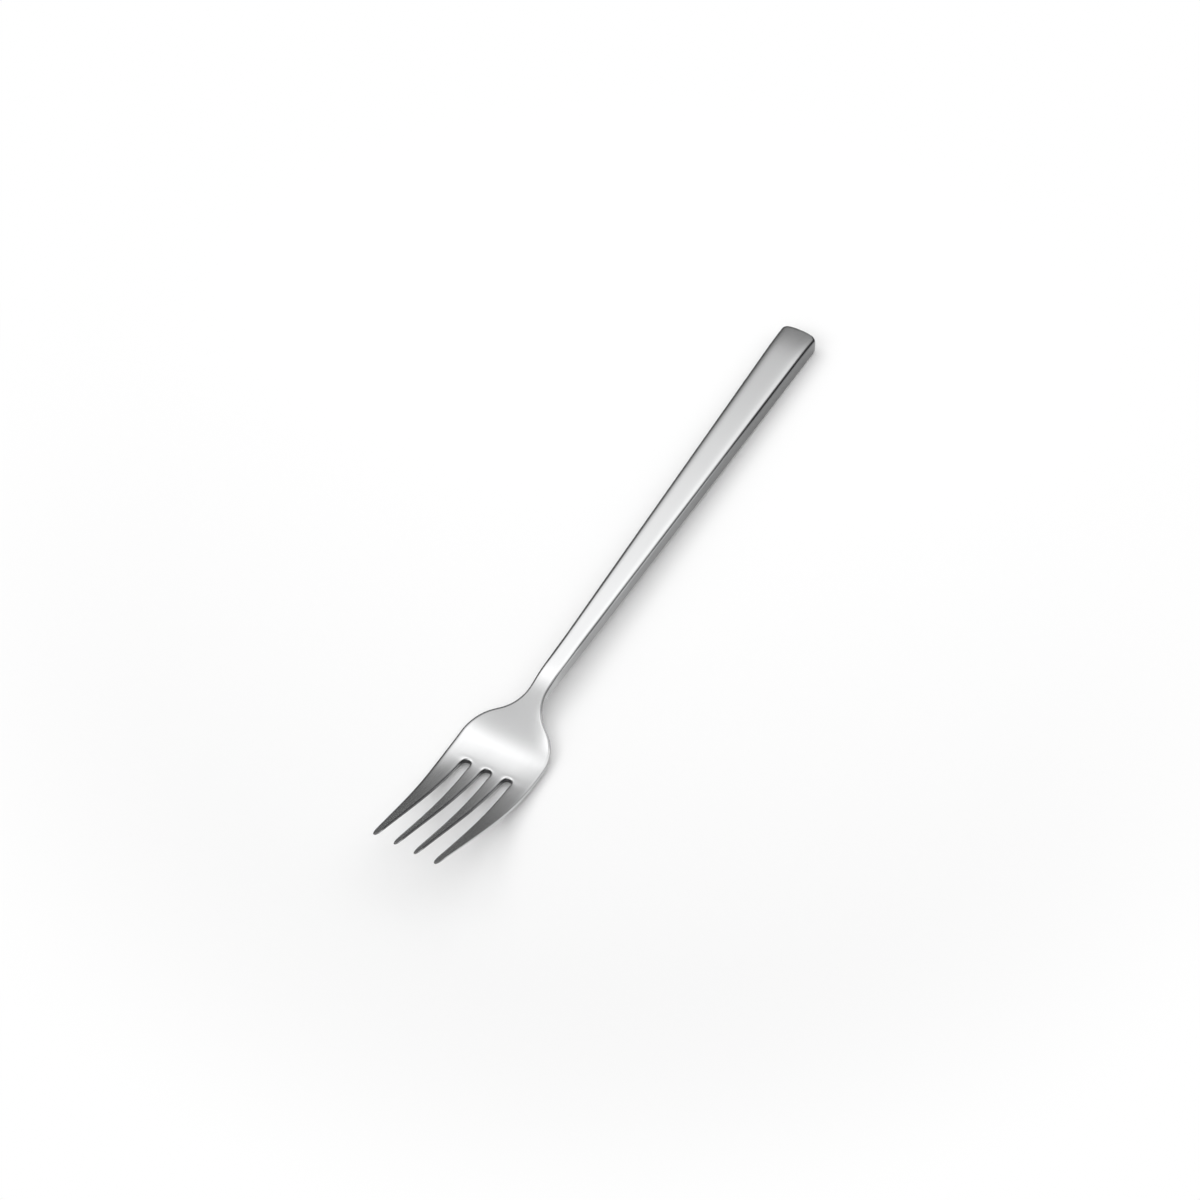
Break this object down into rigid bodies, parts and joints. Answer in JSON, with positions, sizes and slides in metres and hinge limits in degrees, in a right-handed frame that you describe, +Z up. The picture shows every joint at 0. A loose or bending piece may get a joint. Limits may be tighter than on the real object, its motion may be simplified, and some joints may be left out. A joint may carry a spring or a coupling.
{
  "type": "dinner fork",
  "caption": "Table fork in satin stainless steel: a straight bar handle that tapers to a slim neck, a shallow dished bowl and slim tapered tines that lift food from a plate.",
  "frame": {"origin": "Middle of the footprint, on the table that the butt of the handle and the belly of the bowl rest on.", "axes": "+X runs along the fork from the butt of the handle to the tine tips, +Y across the tines, and +Z up, out of the face of the bowl."},
  "size_m": [0.2012, 0.0242, 0.0171],
  "materials": {
    "satin_steel": "satin",
    "filler_cement": "matte"
  },
  "bodies": {
    "root": {"fork_head": "satin_steel", "handle_upper_shell": "satin_steel", "handle_lower_shell": "satin_steel", "handle_filler": "filler_cement"}
  },
  "joints": []
}
